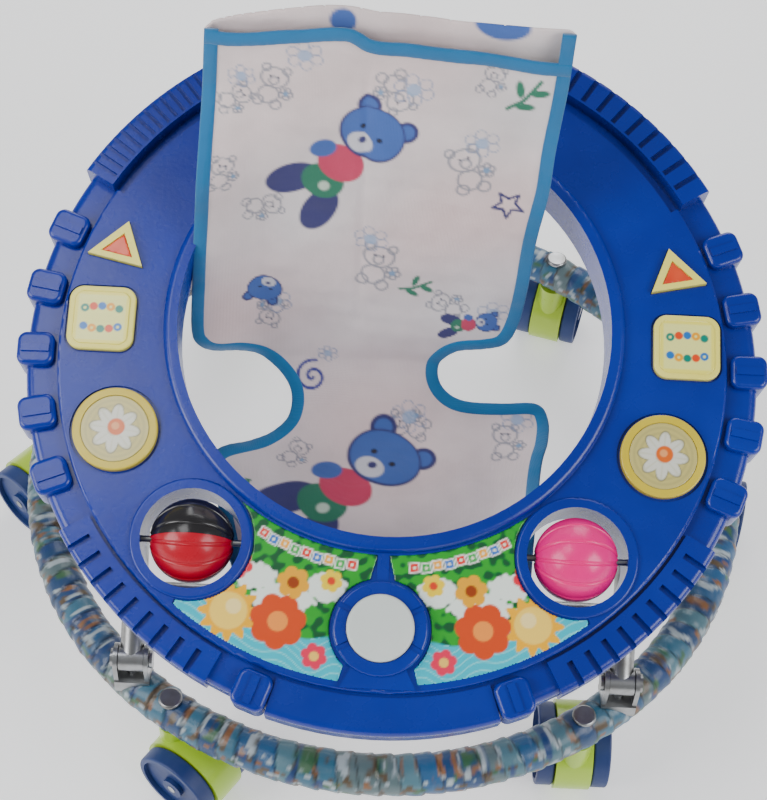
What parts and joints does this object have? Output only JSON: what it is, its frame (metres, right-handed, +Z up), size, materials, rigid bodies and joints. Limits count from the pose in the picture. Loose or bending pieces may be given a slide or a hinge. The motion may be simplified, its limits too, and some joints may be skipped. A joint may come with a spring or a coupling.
{
  "type": "baby walker",
  "caption": "Round baby walker: a toy tray with a sling seat on crossed folding legs over a padded ring with swivel casters.",
  "frame": {"origin": "floor level, under the middle of the walker's outer box", "axes": "+Z up, -Y the way the child faces and walks, +X to the right when seen from the front of the tray"},
  "size_m": [0.5832, 0.55, 0.4769],
  "materials": {
    "steel": "satin",
    "ring_wrap": "matte",
    "blue_plastic": "gloss",
    "cream_plate": "gloss",
    "gold_plate": "satin",
    "orange_plate": "gloss",
    "picture": "gloss",
    "seat_fabric": "matte",
    "board": "matte",
    "white_plastic": "satin",
    "black_plastic": "gloss",
    "red_plastic": "gloss",
    "pink_plastic": "gloss",
    "lime_plastic": "gloss",
    "navy_plastic": "satin"
  },
  "bodies": {
    "base": {"base_ring_tube": "steel", "base_ring_wrap": "ring_wrap", "front_foot_bracket_left": "steel", "front_foot_bracket_right": "steel", "rear_foot_bracket_left": "steel", "rear_foot_bracket_right": "steel", "bracket_bolts": "steel", "foot_pins": "steel", "caster_stems": "steel"},
    "front_legs": {"front_leg_left": "steel", "front_leg_right": "steel", "front_cross_tube": "steel", "front_top_pins": "steel"},
    "rear_legs": {"rear_leg_left": "steel", "rear_leg_right": "steel"},
    "tray": {"tray_shell": "blue_plastic", "tray_underplate": "blue_plastic", "rail_screws": "steel", "rear_top_pins": "steel", "height_rail_left": "blue_plastic", "height_rail_right": "blue_plastic", "rear_leg_bracket_left": "steel", "rear_leg_bracket_right": "steel", "square_plate_left": "cream_plate", "square_plate_right": "cream_plate", "round_plate_left": "gold_plate", "round_plate_right": "gold_plate", "triangle_plate_left": "orange_plate", "triangle_plate_right": "orange_plate", "picture_panel_left": "picture", "picture_panel_right": "picture", "ball_axle_left": "steel", "ball_axle_right": "steel", "hub_cup": "blue_plastic", "hub_spring": "steel", "seat_sling": "seat_fabric", "backrest_pad": "seat_fabric", "backrest_board": "board"},
    "hub_button": {"hub_button": "white_plastic"},
    "ball_left": {"ball_left_black_half": "black_plastic", "ball_left_red_half": "red_plastic"},
    "ball_right": {"ball_right": "pink_plastic"},
    "caster_front_left": {"caster_front_left_housing": "lime_plastic"},
    "caster_front_left_wheels": {"caster_front_left_wheels": "navy_plastic", "caster_front_left_axle": "steel"},
    "caster_front_right": {"caster_front_right_housing": "lime_plastic"},
    "caster_front_right_wheels": {"caster_front_right_wheels": "navy_plastic", "caster_front_right_axle": "steel"},
    "caster_left": {"caster_left_housing": "lime_plastic"},
    "caster_left_wheels": {"caster_left_wheels": "navy_plastic", "caster_left_axle": "steel"},
    "caster_right": {"caster_right_housing": "lime_plastic"},
    "caster_right_wheels": {"caster_right_wheels": "navy_plastic", "caster_right_axle": "steel"},
    "caster_rear_left": {"caster_rear_left_housing": "lime_plastic"},
    "caster_rear_left_wheels": {"caster_rear_left_wheels": "navy_plastic", "caster_rear_left_axle": "steel"},
    "caster_rear_right": {"caster_rear_right_housing": "lime_plastic"},
    "caster_rear_right_wheels": {"caster_rear_right_wheels": "navy_plastic", "caster_rear_right_axle": "steel"}
  },
  "joints": [
    {"name": "front_leg_fold", "type": "hinge", "parent": "base", "child": "front_legs", "pos_m": [0.00914, -0.18246, 0.116], "axis": [1, 0, 0], "range_deg": [-22, 0]},
    {"name": "rear_leg_fold", "type": "hinge", "parent": "base", "child": "rear_legs", "pos_m": [0.00914, 0.17189, 0.116], "axis": [-1, 0, 0], "range_deg": [-7.8, 0]},
    {"name": "tray_tilt", "type": "hinge", "parent": "rear_legs", "child": "tray", "pos_m": [0.00914, -0.13478, 0.2163], "axis": [1, 0, 0], "range_deg": [-25.7, 0]},
    {"name": "hub_button_press", "type": "slide", "parent": "tray", "child": "hub_button", "axis": [0, 0.3891, -0.9212], "range_m": [0, 0.004], "stiffness_N_per_m": 400, "springref_m": -0.002},
    {"name": "ball_left_spin", "type": "hinge", "parent": "tray", "child": "ball_left", "pos_m": [-0.10886, -0.17129, 0.24105], "axis": [1, 0, 0], "continuous": true},
    {"name": "ball_right_spin", "type": "hinge", "parent": "tray", "child": "ball_right", "pos_m": [0.12714, -0.17129, 0.24105], "axis": [1, 0, 0], "continuous": true},
    {"name": "caster_front_left_swivel", "type": "hinge", "parent": "base", "child": "caster_front_left", "pos_m": [-0.12702, -0.20257, 0.06], "axis": [0, 0, 1], "continuous": true},
    {"name": "caster_front_left_roll", "type": "hinge", "parent": "caster_front_left", "child": "caster_front_left_wheels", "pos_m": [-0.11293, -0.21207, 0.029], "axis": [0.5592, 0.829, 0], "continuous": true},
    {"name": "caster_front_right_swivel", "type": "hinge", "parent": "base", "child": "caster_front_right", "pos_m": [0.14894, -0.20016, 0.06], "axis": [0, 0, 1], "continuous": true},
    {"name": "caster_front_right_roll", "type": "hinge", "parent": "caster_front_right", "child": "caster_front_right_wheels", "pos_m": [0.14894, -0.18316, 0.029], "axis": [-1, 0, 0], "continuous": true},
    {"name": "caster_left_swivel", "type": "hinge", "parent": "base", "child": "caster_left", "pos_m": [-0.24086, 0.0071, 0.06], "axis": [0, 0, 1], "continuous": true},
    {"name": "caster_left_roll", "type": "hinge", "parent": "caster_left", "child": "caster_left_wheels", "pos_m": [-0.25388, 0.01803, 0.029], "axis": [-0.6428, -0.766, 0], "continuous": true},
    {"name": "caster_right_swivel", "type": "hinge", "parent": "base", "child": "caster_right", "pos_m": [0.25914, 0.0071, 0.06], "axis": [0, 0, 1], "continuous": true},
    {"name": "caster_right_roll", "type": "hinge", "parent": "caster_right", "child": "caster_right_wheels", "pos_m": [0.26209, 0.02384, 0.029], "axis": [-0.9848, 0.1736, 0], "continuous": true},
    {"name": "caster_rear_left_swivel", "type": "hinge", "parent": "base", "child": "caster_rear_left", "pos_m": [-0.11586, 0.22361, 0.06], "axis": [0, 0, 1], "continuous": true},
    {"name": "caster_rear_left_roll", "type": "hinge", "parent": "caster_rear_left", "child": "caster_rear_left_wheels", "pos_m": [-0.12167, 0.23958, 0.029], "axis": [-0.9397, -0.342, 0], "continuous": true},
    {"name": "caster_rear_right_swivel", "type": "hinge", "parent": "base", "child": "caster_rear_right", "pos_m": [0.14162, 0.21911, 0.06], "axis": [0, 0, 1], "continuous": true},
    {"name": "caster_rear_right_roll", "type": "hinge", "parent": "caster_rear_right", "child": "caster_rear_right_wheels", "pos_m": [0.14602, 0.23553, 0.029], "axis": [-0.9659, 0.2588, 0], "continuous": true}
  ],
  "couplings": [
    {"joint": "rear_leg_fold", "follows": "front_leg_fold", "ratio": 0.354},
    {"joint": "tray_tilt", "follows": "front_leg_fold", "ratio": 1.1676}
  ]
}
